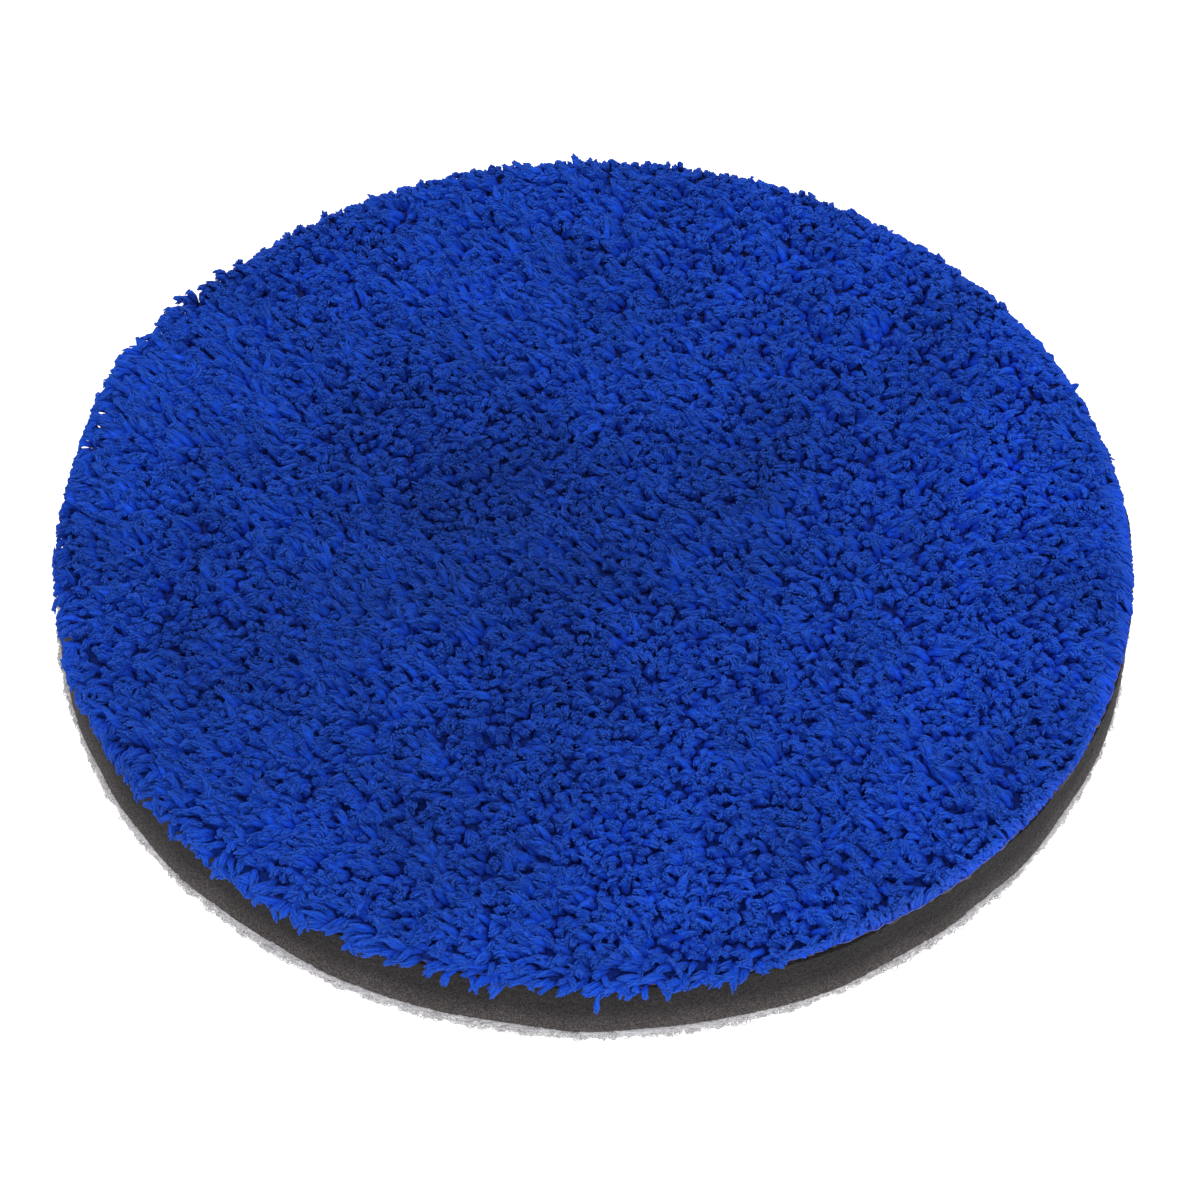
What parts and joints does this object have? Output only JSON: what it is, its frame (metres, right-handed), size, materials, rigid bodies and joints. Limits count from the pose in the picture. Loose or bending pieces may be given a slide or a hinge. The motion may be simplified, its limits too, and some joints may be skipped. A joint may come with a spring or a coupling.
{
  "type": "polishing pad",
  "caption": "Round polishing pad with a plush blue microfibre face, a thin dark foam interlayer and a light loop backing for a hook plate.",
  "frame": {"origin": "centre of the loop backing's underside, the face that a polisher's hook plate holds", "axes": "+Z along the pad's axis from the loop backing towards the microfibre working face; +X and +Y in the plane of the pad"},
  "size_m": [0.1508, 0.1508, 0.0153],
  "materials": {
    "loop_cloth": "matte",
    "adhesive": "matte",
    "foam": "matte",
    "face_knit": "matte",
    "microfibre": "matte"
  },
  "bodies": {
    "root": {"loop_pile": "loop_cloth", "loop_ground_knit": "loop_cloth", "backing_adhesive": "adhesive", "foam_interlayer": "foam", "face_adhesive": "adhesive", "face_ground_knit": "face_knit", "microfibre_pile": "microfibre"}
  },
  "joints": []
}
